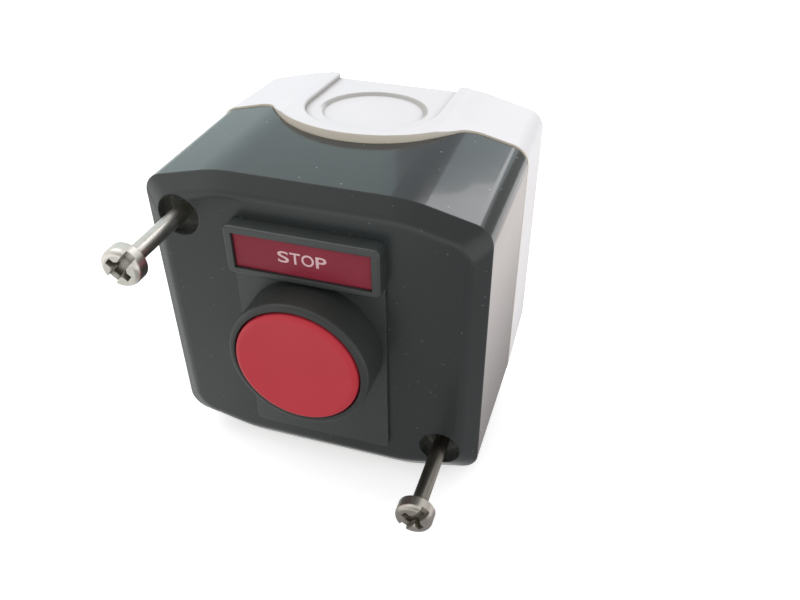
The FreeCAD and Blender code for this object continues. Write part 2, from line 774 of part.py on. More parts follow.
nodes = {
    "base_box": make_base_box(),
    "contact_block_body": make_contact_block_body(),
    "contact_block_lid": make_contact_block_lid(),
    "upper_fixed_contact": make_fixed_contact(1),
    "lower_fixed_contact": make_fixed_contact(-1),
    "terminal_screws": make_terminal_screws(),
    "terminal_clamps": make_terminal_clamps(),
    "front_cover": make_front_cover(),
    "cover_gasket": make_cover_gasket(),
    "legend_holder": make_legend_holder(),
    "legend_plate": make_legend_plate(),
    "button_bezel": make_button_bezel(),
    "bezel_gasket": make_bezel_gasket(),
    "fixing_nut": make_fixing_nut(),
    "button_cap": make_button_cap(),
    "button_stem": make_button_stem(),
    "stem_seal": make_stem_seal(),
    "return_spring": make_return_spring(),
    "contact_plunger": make_contact_plunger(),
    "contact_bridge": make_contact_bridge(),
    "contact_spring": make_contact_spring(),
    "plunger_spring": make_plunger_spring(),
    "upper_screw": make_cover_screw(*screw_places[0], upper_slot_angle),
    "lower_screw": make_cover_screw(*screw_places[1], lower_slot_angle),
}

os.makedirs("parts", exist_ok=True)
for name, shape in nodes.items():
    shape.exportStep(os.path.join("parts", name + ".step"))
    print(f"{name}: {len(shape.Solids)} solid, valid {shape.isValid()}, {shape.Volume:.1f} mm3")
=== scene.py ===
# %% [markdown]
# # A pushbutton control station
# The real object is a small wall box: a pale base, a dark glossy cover held by two captive screws,
# and one red push button with a legend above it. The solids come from CAD with their true sizes,
# so this lesson only loads them, gives each one the finish of its real material, and adds the few
# pieces that want a mesh of their own: the springs, the screw threads and the printed word.

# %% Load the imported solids
import json
import math

import bmesh
import bpy
from mathutils import Matrix, Vector

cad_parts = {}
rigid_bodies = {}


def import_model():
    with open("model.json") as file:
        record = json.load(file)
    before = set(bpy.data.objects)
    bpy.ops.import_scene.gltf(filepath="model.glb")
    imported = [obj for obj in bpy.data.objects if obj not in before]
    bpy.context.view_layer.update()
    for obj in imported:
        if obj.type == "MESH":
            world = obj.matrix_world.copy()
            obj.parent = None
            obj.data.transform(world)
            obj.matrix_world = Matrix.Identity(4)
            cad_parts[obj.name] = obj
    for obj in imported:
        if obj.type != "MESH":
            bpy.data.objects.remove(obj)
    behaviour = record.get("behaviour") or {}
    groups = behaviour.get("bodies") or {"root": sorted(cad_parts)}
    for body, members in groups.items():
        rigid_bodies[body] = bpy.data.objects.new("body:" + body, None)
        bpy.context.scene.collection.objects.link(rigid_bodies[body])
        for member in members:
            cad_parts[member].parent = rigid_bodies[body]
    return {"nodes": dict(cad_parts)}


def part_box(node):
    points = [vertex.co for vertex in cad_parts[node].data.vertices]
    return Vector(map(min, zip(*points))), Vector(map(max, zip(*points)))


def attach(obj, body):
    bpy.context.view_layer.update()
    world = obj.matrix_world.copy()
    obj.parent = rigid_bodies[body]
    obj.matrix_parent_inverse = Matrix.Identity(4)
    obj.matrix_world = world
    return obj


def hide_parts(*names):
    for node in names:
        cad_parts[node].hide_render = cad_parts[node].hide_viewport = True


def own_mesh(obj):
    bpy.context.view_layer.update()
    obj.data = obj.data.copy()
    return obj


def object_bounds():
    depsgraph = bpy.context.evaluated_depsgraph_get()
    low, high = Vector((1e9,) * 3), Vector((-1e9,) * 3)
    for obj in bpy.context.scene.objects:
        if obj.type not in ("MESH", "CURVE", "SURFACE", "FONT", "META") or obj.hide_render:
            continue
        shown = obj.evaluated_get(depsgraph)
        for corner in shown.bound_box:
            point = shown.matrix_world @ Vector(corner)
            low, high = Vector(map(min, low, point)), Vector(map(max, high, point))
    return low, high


for leftover in list(bpy.data.objects):
    bpy.data.objects.remove(leftover)
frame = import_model()
cad_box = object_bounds()
MM = 0.001

# %% [markdown]
# ## The camera
# The photograph looks down on the box from its right-hand front corner, close enough for strong
# perspective. The place, the three turns and the lens were fitted to the box's edges, so they are
# written as numbers. The small shift stands for a picture that was cropped a little off centre.

# %% Place the camera
camera_place = Vector((52.95, -163.59, 98.25)) * MM
turn, dip, roll = math.radians(16.217), math.radians(36.271), math.radians(0.627)
camera_data = bpy.data.cameras.new("camera")
camera = bpy.data.objects.new("camera", camera_data)
bpy.context.scene.collection.objects.link(camera)
camera_data.sensor_width = 36.0
camera_data.lens = 34.68
camera_data.shift_x = -0.0237
camera_data.shift_y = -0.0067
camera_data.clip_start = 0.01
turned = Matrix.Rotation(turn, 4, "Z")
tilted = Matrix.Rotation(math.radians(90) - dip, 4, "X")
rolled = Matrix.Rotation(roll, 4, "Z")
camera.matrix_world = Matrix.Translation(camera_place) @ turned @ tilted @ rolled
bpy.context.scene.camera = camera
print("camera at", [round(value, 4) for value in camera.matrix_world.translation])

# %% [markdown]
# ## Helpers for materials
# A finish is a small graph of nodes. One function turns a colour from the hex code that a picture
# editor shows into the linear light that a shader adds up, and one function adds a node with its
# settings, its plain values and its links, so each material below reads as a list of steps. Every
# finish ends alike, in softened edges, a relief and a shader, so one function closes them all.

# %% Colour and node helpers
# A Mix node has sockets for numbers, vectors and colours; these are the ones for colours.
MIX_SHARE, MIX_FIRST, MIX_SECOND, MIX_RESULT = 0, 6, 7, 2


def linear(code):
    """The linear colour of an sRGB hex code."""
    shares = [int(code[start:start + 2], 16) / 255 for start in (1, 3, 5)]
    return [s / 12.92 if s <= 0.04045 else ((s + 0.055) / 1.055) ** 2.4 for s in shares] + [1.0]


def add_node(tree, kind, settings=None, values=None, links=None):
    """A shader node of the kind, with its settings, socket values and incoming links."""
    node = tree.nodes.new("ShaderNode" + kind)
    for name, value in (settings or {}).items():
        setattr(node, name, value)
    for socket, value in (values or {}).items():
        node.inputs[socket].default_value = value
    for socket, source in (links or {}).items():
        tree.links.new(source, node.inputs[socket])
    return node


def new_material(name):
    """An empty material, its node tree and the object coordinates that its patterns follow."""
    material = bpy.data.materials.new(name)
    material.use_nodes = True
    tree = material.node_tree
    tree.nodes.clear()
    place = add_node(tree, "TexCoord")
    return material, tree, place


print("white in linear light", linear("#ffffff")[:3])


# %% The end of every finish
def close_finish(tree, edge_mm, relief, relief_mm, values, links):
    """Softened edges, a relief, the shader with its values and links, and the output."""
    edge = add_node(tree, "Bevel", {"samples": 6}, {"Radius": edge_mm * MM})
    bump = add_node(tree, "Bump", None, {"Strength": 1.0, "Distance": relief_mm * MM},
                    {"Height": relief, "Normal": edge.outputs["Normal"]})
    shader = add_node(tree, "BsdfPrincipled", None, values, {**links, "Normal": bump.outputs["Normal"]})
    add_node(tree, "OutputMaterial", None, None, {"Surface": shader.outputs["BSDF"]})


print("helpers ready")

# %% [markdown]
# ## Moulded plastics
# Every plastic piece comes out of a steel mould. Its colour runs right through it and drifts only a
# little, its surface copies the grain of the mould, and its edges are never razor sharp. A large
# noise gives the drift, a fine one gives the grain through a bump, and a bevel node rounds the
# light on the edges. One function makes all of them, because only the numbers differ. The real grain
# is nearer a tenth of a millimetre, too fine for the picture, so it is drawn coarser.

# %% Moulded plastic
def moulded(name, shade, tint, roughness, grain_mm=0.5, grain_height_mm=0.006, edge_mm=0.25,
            cloud_mm=14.0, mirror=0.5):
    """Thermoplastic from a mould: a drifting colour, a grained surface and softened edges."""
    uneven = 0.04
    material, tree, place = new_material(name)
    where = place.outputs["Object"]
    drift = add_node(tree, "TexNoise", None, {"Scale": 1 / (cloud_mm * MM), "Detail": 3.0},
                     {"Vector": where})
    colour = add_node(tree, "Mix", {"data_type": "RGBA"},
                      {MIX_FIRST: linear(shade), MIX_SECOND: linear(tint)},
                      {MIX_SHARE: drift.outputs["Fac"]})
    polish = add_node(tree, "MapRange", None,
                      {"To Min": roughness - uneven, "To Max": roughness + uneven},
                      {"Value": drift.outputs["Fac"]})
    grain = add_node(tree, "TexNoise", None, {"Scale": 1 / (grain_mm * MM), "Detail": 2.0},
                     {"Vector": where})
    close_finish(tree, edge_mm, grain.outputs["Fac"], grain_height_mm,
                 {"IOR": 1.5, "Specular IOR Level": mirror},
                 {"Base Color": colour.outputs[MIX_RESULT], "Roughness": polish.outputs["Result"]})
    return material


# The legend holder is black glass-filled polyamide, with a sheen but duller than the cover.
trim_polyamide = moulded("black_satin_polyamide", "#2e3231", "#373c3b", 0.38, grain_mm=0.6,
                         grain_height_mm=0.008, mirror=0.65)
# The bezel is a matt grade of it, which keeps the eye on the cap.
bezel_polyamide = moulded("black_matt_polyamide", "#2c2e2c", "#343735", 0.45, grain_mm=0.6,
                          grain_height_mm=0.008, mirror=0.4)
# The cap is red polyamide, matt to the eye because the finger should not slip.
cap_polyamide = moulded("red_matt_polyamide", "#b12734", "#ba2e3b", 0.42, grain_mm=0.4,
                        grain_height_mm=0.008, edge_mm=0.3, mirror=0.3)
# Hidden pieces of the button are plain black polyamide, straight from the mould.
inner_polyamide = moulded("black_inner_polyamide", "#1d1e1f", "#272829", 0.5)
# The contact block is mid-grey polyamide, and its carrier is red to show a break contact.
block_polyamide = moulded("grey_block_polyamide", "#7d8284", "#888d8f", 0.5)
carrier_polyamide = moulded("red_carrier_polyamide", "#a8323a", "#b33a41", 0.48)
print("moulded plastics", [m.name for m in bpy.data.materials if "polyamide" in m.name])

# %% [markdown]
# ## The pale base
# The base is pale grey ABS with a satin mould texture. Three things keep it from looking like
# plaster: the narrow faces along the joint with the cover have yellowed, and where they face the
# front that colour is also painted shade; dirt and painted shade fill every inner corner; and grime
# with painted shade lies on the rear half of the ring of the knock-out, where its step faces the
# front. The first and the last are found by their place on the object, and the corners by an
# ambient occlusion node, which tells how open the two millimetres around a point are.

# %% Yellowed joint and painted shade
JOINT_MM, JOINT_FADE_MM = -20.5, 0.5
SIDE_STARTS_MM, SIDE_FULL_MM = 32.5, 33.5


def joint_yellowing_and_shade(tree, place):
    """A mask of the front and side faces of the base by the joint: yellowing and painted shade."""
    spot = add_node(tree, "SeparateXYZ", None, None, {"Vector": place.outputs["Object"]})
    facing = add_node(tree, "SeparateXYZ", None, None, {"Vector": place.outputs["Normal"]})
    joint = add_node(tree, "MapRange", None,
                     {"From Min": JOINT_MM * MM, "From Max": (JOINT_MM + JOINT_FADE_MM) * MM,
                      "To Min": 0.9, "To Max": 0.0}, {"Value": spot.outputs["Y"]})
    # Painted shade: faces that look forward take the yellowed colour, which also stands for their shade.
    forward = add_node(tree, "MapRange", None,
                       {"From Min": -0.8, "From Max": -0.4, "To Min": 1.0, "To Max": 0.0},
                       {"Value": facing.outputs["Y"]})
    sideways = add_node(tree, "Math", {"operation": "ABSOLUTE"}, None, {0: spot.outputs["X"]})
    on_side = add_node(tree, "MapRange", None,
                       {"From Min": SIDE_STARTS_MM * MM, "From Max": SIDE_FULL_MM * MM},
                       {"Value": sideways.outputs["Value"]})
    outer = add_node(tree, "Math", {"operation": "MAXIMUM"}, None,
                     {0: forward.outputs["Result"], 1: on_side.outputs["Result"]})
    grime_and_shade = add_node(tree, "Math", {"operation": "MULTIPLY"}, None,
                     {0: joint.outputs["Result"], 1: outer.outputs["Value"]})
    return grime_and_shade.outputs["Value"]


print("joint at", JOINT_MM, "mm")

# %% Grime and painted shade in the ring of the knock-out
RING_MIDDLE_MM, RING_RADIUS_MM = -17.6, 10.95
RING_DARK_MM, RING_CLEAN_MM = 0.35, 0.8
RING_ENDS_MM, RING_FULL_MM = -21.0, -17.0


def ring_dirt_and_shade(tree, where):
    """Grime and painted shade on the rear half of the ring, where its step faces the front."""
    from_middle = add_node(tree, "Mapping", None,
                           {"Location": (0, -RING_MIDDLE_MM * MM, 0), "Scale": (1, 1, 0)},
                           {"Vector": where})
    reach = add_node(tree, "VectorMath", {"operation": "LENGTH"}, None,
                     {0: from_middle.outputs["Vector"]})
    outside = add_node(tree, "Math", {"operation": "SUBTRACT"}, {1: RING_RADIUS_MM * MM},
                       {0: reach.outputs["Value"]})
    beside = add_node(tree, "Math", {"operation": "ABSOLUTE"}, None, {0: outside.outputs["Value"]})
    band = add_node(tree, "MapRange", None,
                    {"From Min": RING_DARK_MM * MM, "From Max": RING_CLEAN_MM * MM,
                     "To Min": 0.7, "To Max": 0.0}, {"Value": beside.outputs["Value"]})
    spot = add_node(tree, "SeparateXYZ", None, None, {"Vector": where})
    # Painted shade: only the rear half is darkened, where the step faces the front and lies in shade.
    rear_half = add_node(tree, "MapRange", None,
                         {"From Min": RING_ENDS_MM * MM, "From Max": RING_FULL_MM * MM},
                         {"Value": spot.outputs["Y"]})
    grime_and_shade = add_node(tree, "Math", {"operation": "MULTIPLY"}, None,
                     {0: band.outputs["Result"], 1: rear_half.outputs["Result"]})
    return grime_and_shade.outputs["Value"]


print("ring radius", RING_RADIUS_MM, "mm")


# %% Base plastic
def satin_with_grime_and_shade(name, shade, tint, dirt_and_shade_colour, yellowed_and_shaded):
    """Pale ABS with a satin grain, a yellowed joint, dirt and painted shade in corners and ring."""
    cloud_mm, grain_mm, grain_height_mm, edge_mm, corner_mm = 14.0, 0.5, 0.006, 0.3, 2.0
    material, tree, place = new_material(name)
    where = place.outputs["Object"]
    drift = add_node(tree, "TexNoise", None, {"Scale": 1 / (cloud_mm * MM), "Detail": 3.0},
                     {"Vector": where})
    clean = add_node(tree, "Mix", {"data_type": "RGBA"},
                     {MIX_FIRST: linear(shade), MIX_SECOND: linear(tint)},
                     {MIX_SHARE: drift.outputs["Fac"]})
    # Dirt and painted shade: the inner corners are darkened by how closed they are.
    hollow = add_node(tree, "AmbientOcclusion", {"samples": 16}, {"Distance": corner_mm * MM})
    corner_dirt_and_shade = add_node(tree, "MapRange", None,
                         {"From Min": 0.45, "From Max": 0.96, "To Min": 0.9, "To Max": 0.0},
                         {"Value": hollow.outputs["AO"]})
    hollow_share = add_node(tree, "Math", {"operation": "MAXIMUM"}, None,
                    {0: corner_dirt_and_shade.outputs["Result"], 1: ring_dirt_and_shade(tree, where)})
    soiled_and_shaded = add_node(tree, "Mix", {"data_type": "RGBA"}, {MIX_SECOND: linear(dirt_and_shade_colour)},
                      {MIX_SHARE: hollow_share.outputs["Value"], MIX_FIRST: clean.outputs[MIX_RESULT]})
    colour = add_node(tree, "Mix", {"data_type": "RGBA"}, {MIX_SECOND: linear(yellowed_and_shaded)},
                      {MIX_SHARE: joint_yellowing_and_shade(tree, place), MIX_FIRST: soiled_and_shaded.outputs[MIX_RESULT]})
    polish = add_node(tree, "MapRange", None, {"To Min": 0.38, "To Max": 0.48},
                      {"Value": drift.outputs["Fac"]})
    grain = add_node(tree, "TexNoise", None, {"Scale": 1 / (grain_mm * MM), "Detail": 2.0},
                     {"Vector": where})
    close_finish(tree, edge_mm, grain.outputs["Fac"], grain_height_mm, {"IOR": 1.5},
                 {"Base Color": colour.outputs[MIX_RESULT], "Roughness": polish.outputs["Result"]})
    return material


# The base is pale and satin, and its grime and painted shade tell the eye how its faces meet.
base_abs = satin_with_grime_and_shade("pale_grey_abs", "#e5e4e7", "#edecef", "#98958c", "#e6ddcd")
print("base finish", base_abs.name, len(base_abs.node_tree.nodes), "nodes")

# %% [markdown]
# ## The glossy cover
# The cover comes from the same kind of mould, but its sides were polished, so they mirror the room,
# while the front keeps a soft sheen. The front is told apart by its normal, which looks along -Y.
# The gloss also shows dust, so a sparse set of small pale specks lies on it: a cell texture puts one
# point in each of its cells, and only the surface that passes close to a chosen point is dusty. Dust
# falls, so faces that look up hold more of it. Still more lies in the screw holes, which an ambient
# occlusion node finds, and there the pale colour is also painted light that lifts their shade.

# %% Dust on the cover
SPECK_SPACING_MM = 2.2


def dust_specks(tree, where, facing):
    """A mask of sparse specks, fuller on the faces that look up."""
    cells = add_node(tree, "TexVoronoi", None, {"Scale": 1 / (SPECK_SPACING_MM * MM)},
                     {"Vector": where})
    chosen = add_node(tree, "Math", {"operation": "GREATER_THAN"}, {1: 0.6},
                      {0: cells.outputs["Color"]})
    near = add_node(tree, "MapRange", None,
                    {"From Min": 0.04, "From Max": 0.1, "To Min": 0.6, "To Max": 0.0},
                    {"Value": cells.outputs["Distance"]})
    speck = add_node(tree, "Math", {"operation": "MULTIPLY"}, None,
                     {0: near.outputs["Result"], 1: chosen.outputs["Value"]})
    upward = add_node(tree, "MapRange", None,
                      {"From Min": 0.1, "From Max": 0.7, "To Min": 0.3, "To Max": 1.0},
                      {"Value": facing.outputs["Z"]})
    lying = add_node(tree, "Math", {"operation": "MULTIPLY"}, None,
                     {0: speck.outputs["Value"], 1: upward.outputs["Result"]})
    return lying.outputs["Value"]


print("a speck in some cells of", SPECK_SPACING_MM, "mm")

# %% Cover plastic
# The Y of the normal at which the satin front ends and at which the polished sides begin.
FRONT_ENDS, SIDES_BEGIN = -0.97, -0.6


def dusty_gloss_with_painted_light(name, shade, tint, dust_colour, hole_dust_and_light_colour):
    """Dark ABS: polished sides, satin front, a little dust, painted light in the screw holes."""
    front_roughness, side_roughness, side_coat = 0.3, 0.15, 0.4
    cloud_mm, ripple_mm, ripple_height_mm, edge_mm, hole_mm = 20.0, 6.0, 0.03, 0.4, 4.0
    material, tree, place = new_material(name)
    where = place.outputs["Object"]
    facing = add_node(tree, "SeparateXYZ", None, None, {"Vector": place.outputs["Normal"]})
    drift = add_node(tree, "TexNoise", None, {"Scale": 1 / (cloud_mm * MM), "Detail": 3.0},
                     {"Vector": where})
    clean = add_node(tree, "Mix", {"data_type": "RGBA"},
                     {MIX_FIRST: linear(shade), MIX_SECOND: linear(tint)},
                     {MIX_SHARE: drift.outputs["Fac"]})
    dusty = add_node(tree, "Mix", {"data_type": "RGBA"}, {MIX_SECOND: linear(dust_colour)},
                     {MIX_SHARE: dust_specks(tree, where, facing),
                      MIX_FIRST: clean.outputs[MIX_RESULT]})
    # Dust and painted light: the screw holes get a paler colour, which lifts their shade.
    hollow = add_node(tree, "AmbientOcclusion", {"samples": 8}, {"Distance": hole_mm * MM})
    dust_and_light_in_hole = add_node(tree, "MapRange", None,
                       {"From Min": 0.2, "From Max": 0.45, "To Min": 0.9, "To Max": 0.0},
                       {"Value": hollow.outputs["AO"]})
    colour = add_node(tree, "Mix", {"data_type": "RGBA"}, {MIX_SECOND: linear(hole_dust_and_light_colour)},
                      {MIX_SHARE: dust_and_light_in_hole.outputs["Result"], MIX_FIRST: dusty.outputs[MIX_RESULT]})
    polish = add_node(tree, "MapRange", {"interpolation_type": "SMOOTHSTEP"},
                      {"From Min": FRONT_ENDS, "From Max": SIDES_BEGIN,
                       "To Min": front_roughness, "To Max": side_roughness},
                      {"Value": facing.outputs["Y"]})
    coat = add_node(tree, "MapRange", {"interpolation_type": "SMOOTHSTEP"},
                    {"From Min": FRONT_ENDS, "From Max": SIDES_BEGIN,
                     "To Min": 0.0, "To Max": side_coat}, {"Value": facing.outputs["Y"]})
    ripple = add_node(tree, "TexNoise", None, {"Scale": 1 / (ripple_mm * MM), "Detail": 1.0},
                      {"Vector": where})
    close_finish(tree, edge_mm, ripple.outputs["Fac"], ripple_height_mm,
                 {"IOR": 1.5, "Coat Roughness": 0.04},
                 {"Base Color": colour.outputs[MIX_RESULT], "Roughness": polish.outputs["Result"],
                  "Coat Weight": coat.outputs["Result"]})
    return material


# The cover looks almost black, and its slightly rippled gloss shows the room.
cover_abs = dusty_gloss_with_painted_light("dark_glossy_abs", "#282c2c", "#2d3131", "#b4bab9", "#a3a498")
print("cover finish", cover_abs.name, len(cover_abs.node_tree.nodes), "nodes")

# %% [markdown]
# ## The legend, its print and the seals
# The legend is a strip of red acrylic, cut from sheet: flat, glossy and slightly cloudy. The word on
# it is screen printed in white ink, a film that is a little uneven where the mesh of the screen left
# it thinner and the red shows through. The seals are rubber. All are plastics to the eye, so the
# same function serves with other numbers.

# %% Legend, ink and rubber
# The acrylic gives a deep red with a soft shine.
legend_acrylic = moulded("red_acrylic_sheet", "#7e2633", "#882b3c", 0.25, grain_mm=0.8,
                         grain_height_mm=0.003, edge_mm=0.15, cloud_mm=5.0, mirror=0.2)
# The ink is white with a breath of the red below.
white_ink = moulded("white_screen_ink", "#cda3a7", "#e0bec1", 0.5, grain_mm=0.3, edge_mm=0.05,
                    cloud_mm=1.2)
# New rubber is black and dull.
seal_rubber = moulded("black_nitrile_rubber", "#1b1b1c", "#242425", 0.7, grain_height_mm=0.01,
                      edge_mm=0.15)
# The seal in the joint has aged to the brown line that shows between the base and the cover.
aged_rubber = moulded("brown_aged_rubber", "#7d6a52", "#8b7860", 0.7, grain_height_mm=0.01,
                      edge_mm=0.15)
print("legend finishes", legend_acrylic.name, white_ink.name)

# %% [markdown]
# ## Metals
# The cover screws are zinc-plated steel, turned and then tumbled: bright, with fine rings around the
# axis and a slightly blotchy plating. The springs are drawn wire, and the contacts are brass. All are
# metallic shaders whose colour is the colour of the metal's reflection, and where dirt fills a slot,
# the metal gives way to a dull brown. The lower screw has a darker copy of the plating, and its shank
# is darker still behind the head: painted shade for the darker reflections that it shows. A ring
# pattern would need an axis per screw, so a noise that is drawn out across the axis stands for the
# turning marks.

# %% Metals
def bright_metal(name, shade, tint, roughness, mark_mm, mark_height_mm, shade_from_mm=0.0,
                 shade_share=0.0):
    """Worked metal: blotchy plating, turning marks, dirt in hollows and painted shade past a depth."""
    uneven, blotch_mm, slot_mm, edge_mm, shade_fade_mm = 0.08, 2.5, 2.5, 0.15, 0.5
    material, tree, place = new_material(name)
    where = place.outputs["Object"]
    blotch = add_node(tree, "TexNoise", None, {"Scale": 1 / (blotch_mm * MM), "Detail": 4.0},
                      {"Vector": where})
    clean = add_node(tree, "Mix", {"data_type": "RGBA"},
                     {MIX_FIRST: linear(shade), MIX_SECOND: linear(tint)},
                     {MIX_SHARE: blotch.outputs["Fac"]})
    spot = add_node(tree, "SeparateXYZ", None, None, {"Vector": where})
    # Painted shade: from the given depth on, the colour darkens, for the dark reflections of the shank.
    shank_shade = add_node(tree, "MapRange", None,
                    {"From Min": shade_from_mm * MM, "From Max": (shade_from_mm + shade_fade_mm) * MM,
                     "To Min": 0.0, "To Max": shade_share}, {"Value": spot.outputs["Y"]})
    shaded_colour = add_node(tree, "Mix", {"data_type": "RGBA"}, {MIX_SECOND: linear("#3f3a33")},
                      {MIX_SHARE: shank_shade.outputs["Result"], MIX_FIRST: clean.outputs[MIX_RESULT]})
    hollow = add_node(tree, "AmbientOcclusion", {"samples": 8}, {"Distance": slot_mm * MM})
    hollow_share = add_node(tree, "MapRange", None,
                    {"From Min": 0.4, "From Max": 1.0, "To Min": 0.95, "To Max": 0.0},
                    {"Value": hollow.outputs["AO"]})
    colour = add_node(tree, "Mix", {"data_type": "RGBA"}, {MIX_SECOND: linear("#575142")},
                      {MIX_SHARE: hollow_share.outputs["Result"], MIX_FIRST: shaded_colour.outputs[MIX_RESULT]})
    bare = add_node(tree, "Math", {"operation": "SUBTRACT"}, {0: 1.0}, {1: hollow_share.outputs["Result"]})
    polish = add_node(tree, "MapRange", None,
                      {"To Min": roughness - uneven, "To Max": roughness + uneven},
                      {"Value": blotch.outputs["Fac"]})
    drawn_out = add_node(tree, "Mapping", None, {"Scale": (0.15, 1.0, 0.15)}, {"Vector": where})
    marks = add_node(tree, "TexNoise", None, {"Scale": 1 / (mark_mm * MM), "Detail": 2.0},
                     {"Vector": drawn_out.outputs["Vector"]})
    close_finish(tree, edge_mm, marks.outputs["Fac"], mark_height_mm, None,
                 {"Base Color": colour.outputs[MIX_RESULT], "Roughness": polish.outputs["Result"],
                  "Metallic": bare.outputs["Value"]})
    return material


# Plated steel is bright and a little warm, spring wire greyer, and brass yellow.
screw_steel = bright_metal("zinc_plated_steel", "#cac5bd", "#dedbd5", 0.3, 0.35, 0.006)
spring_steel = bright_metal("drawn_spring_steel", "#a5a7a8", "#bbbdbd", 0.28, 0.3, 0.003)
contact_brass = bright_metal("rolled_brass", "#b8975a", "#c9aa6d", 0.3, 0.4, 0.004)
# The lower screw is painted in shade: the same plating, darker and duller, and its shank behind
# the head darker still, for the dark reflections that it shows.
shaded_screw_steel = bright_metal("shaded_zinc_plated_steel", "#b0aaa1", "#c9c4bc", 0.34, 0.35, 0.006,
                          shade_from_mm=-71.2, shade_share=0.6)
print("metals", screw_steel.name, shaded_screw_steel.name, spring_steel.name, contact_brass.name)

# %% [markdown]
# ## Finishes on the CAD solids
# The solids keep their shape. Each one gets the finish of the material that the real piece is made
# of, so a table from finish to pieces is all that this step needs.

# %% Give each solid its finish
finish_of = {
    base_abs: ["base_box"],
    cover_abs: ["front_cover"],
    trim_polyamide: ["legend_holder"],
    bezel_polyamide: ["button_bezel"],
    cap_polyamide: ["button_cap"],
    inner_polyamide: ["fixing_nut", "button_stem"],
    legend_acrylic: ["legend_plate"],
    block_polyamide: ["contact_block_body", "contact_block_lid"],
    carrier_polyamide: ["contact_plunger"],
    seal_rubber: ["bezel_gasket", "stem_seal"],
    aged_rubber: ["cover_gasket"],
    screw_steel: ["upper_screw", "terminal_screws", "terminal_clamps"],
    shaded_screw_steel: ["lower_screw"],
    spring_steel: ["return_spring", "plunger_spring", "contact_spring"],
    contact_brass: ["upper_fixed_contact", "lower_fixed_contact", "contact_bridge"],
}
for finish, names in finish_of.items():
    for name in names:
        solid = frame["nodes"][name]
        solid.data.materials.clear()
        solid.data.materials.append(finish)
print("solids with a finish", sum(len(names) for names in finish_of.values()))

# %% [markdown]
# ## Springs
# A compression spring is one wire wound in a helix, with its last turn closed at each end so that it
# stands flat. It could be a curve with a bevel, but spinning a small circle around the axis while it
# creeps along gives a mesh at once: a slow turn, the open turns, and a slow turn again. Two of the
# springs shorten when the button goes down, so each of them gets a mesh of its own.

# %% Wind a spring
def mesh_piece(name, shape, finish):
    """An object at the origin that holds the shape."""
    mesh = bpy.data.meshes.new(name)
    shape.to_mesh(mesh)
    shape.free()
    for face in mesh.polygons:
        face.use_smooth = True
    piece = bpy.data.objects.new(name, mesh)
    bpy.context.scene.collection.objects.link(piece)
    mesh.materials.append(finish)
    return piece


def wind(shape, profile, turns, rise, steps_per_turn=28):
    """Spin the profile around the Y axis while it rises, and give back its last ring."""
    steps = round(turns * steps_per_turn)
    spun = bmesh.ops.spin(shape, geom=profile, cent=(0, 0, 0), axis=(0, 1, 0),
                          dvec=(0, rise / steps, 0), angle=math.tau * turns, steps=steps,
                          use_merge=False, use_duplicate=False)
    return spun["geom_last"]


def close_and_place(shape, low, high):
    """Close the open ends of a wound shape and move it to the axis of its solid."""
    bmesh.ops.holes_fill(shape, edges=[edge for edge in shape.edges if edge.is_boundary])
    middle = Vector(((low[0] + high[0]) / 2, 0, (low[2] + high[2]) / 2))
    bmesh.ops.translate(shape, verts=shape.verts, vec=middle)
    bmesh.ops.recalc_face_normals(shape, faces=shape.faces)


def coil_spring(node, mean_radius_mm, wire_radius_mm, open_turns, body):
    """A wound wire in the place of the CAD spring, with a closed turn at each end."""
    low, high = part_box(node)
    wire_radius = wire_radius_mm * MM
    length = high[1] - low[1] - 2 * wire_radius
    # A closed turn rises by the thickness of the wire and a hair, so that its coils stay apart.
    closed_rise = 2.1 * wire_radius
    shape = bmesh.new()
    start = Matrix.Translation((mean_radius_mm * MM, low[1] + wire_radius, 0))
    bmesh.ops.create_circle(shape, segments=12, radius=wire_radius, matrix=start)
    ring = wind(shape, shape.verts[:] + shape.edges[:], 1, closed_rise)
    ring = wind(shape, ring, open_turns, length - 2 * closed_rise)
    wind(shape, ring, 1, closed_rise)
    close_and_place(shape, low, high)
    piece = mesh_piece("wound_" + node, shape, spring_steel)
    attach(piece, body)
    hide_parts(node)
    print(piece.name, len(piece.data.polygons), "faces")
    return piece


return_spring = coil_spring("return_spring", 6.0, 0.4, 4, "cover")
plunger_spring = coil_spring("plunger_spring", 2.2, 0.3, 5, "base")
coil_spring("contact_spring", 1.6, 0.25, 3, "contact_carrier")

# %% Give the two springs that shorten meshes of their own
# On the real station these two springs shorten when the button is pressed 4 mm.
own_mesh(return_spring)
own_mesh(plunger_spring)
print("springs that shorten", return_spring.name, plunger_spring.name)

# %% [markdown]
# ## Screw threads
# The cover screws have a plain shank and a threaded end, which keeps them in the cover. The solids
# leave the thread as a rod. A small blunt wedge wound around the rod gives the rolled ridge: the same
# spin as the springs, with the pitch of an M4 screw.

# %% Wind a thread on each screw
THREAD_START = -48.0 * MM
THREAD_PITCH = 0.7 * MM
THREAD_ROOT, THREAD_CREST = 1.97 * MM, 2.12 * MM


def thread_ridge(node, body, finish):
    """The rolled ridge on the threaded end of a cover screw."""
    low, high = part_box(node)
    bare_tip = 0.4 * MM
    turns = math.floor((high[1] - bare_tip - THREAD_START) / THREAD_PITCH) - 1
    wedge = ((THREAD_ROOT, 0), (THREAD_CREST, 0.28 * MM), (THREAD_CREST, 0.38 * MM),
             (THREAD_ROOT, 0.66 * MM))
    shape = bmesh.new()
    corners = [shape.verts.new((x, THREAD_START + y, 0)) for x, y in wedge]
    sides = [shape.edges.new((corners[i - 1], corners[i])) for i in range(len(corners))]
    wind(shape, corners + sides, turns, turns * THREAD_PITCH, steps_per_turn=24)
    close_and_place(shape, low, high)
    piece = mesh_piece(node + "_thread", shape, finish)
    piece.data.polygons.foreach_set("use_smooth", [False] * len(piece.data.polygons))
    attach(piece, body)
    print(piece.name, turns, "turns")


